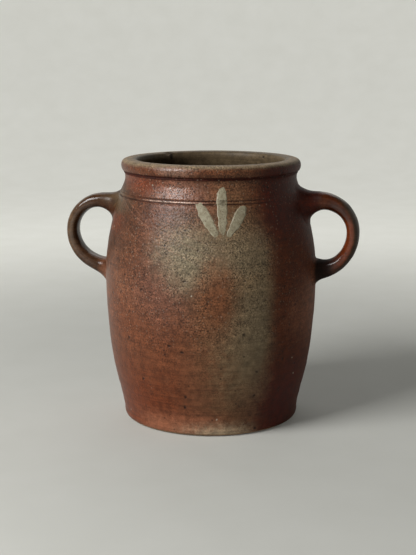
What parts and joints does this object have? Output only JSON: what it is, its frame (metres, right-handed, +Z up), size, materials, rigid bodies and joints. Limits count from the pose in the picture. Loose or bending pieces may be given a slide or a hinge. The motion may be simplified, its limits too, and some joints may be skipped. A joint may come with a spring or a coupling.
{
  "type": "two-handled pot",
  "caption": "Barrel-bodied stoneware storage pot with a rolled collar rim, an open mouth and a pulled strap handle on each side of the shoulder.",
  "frame": {"origin": "centre of the flat base, on the pot's turning axis", "axes": "+Z up along the turning axis, +X towards the right-hand handle, -Y towards the viewer"},
  "size_m": [0.2873, 0.2032, 0.25],
  "materials": {
    "body_stoneware": "salt glazed",
    "handle_stoneware": "salt glazed"
  },
  "bodies": {
    "root": {"pot_body": "body_stoneware", "left_handle": "handle_stoneware", "right_handle": "handle_stoneware"}
  },
  "joints": []
}
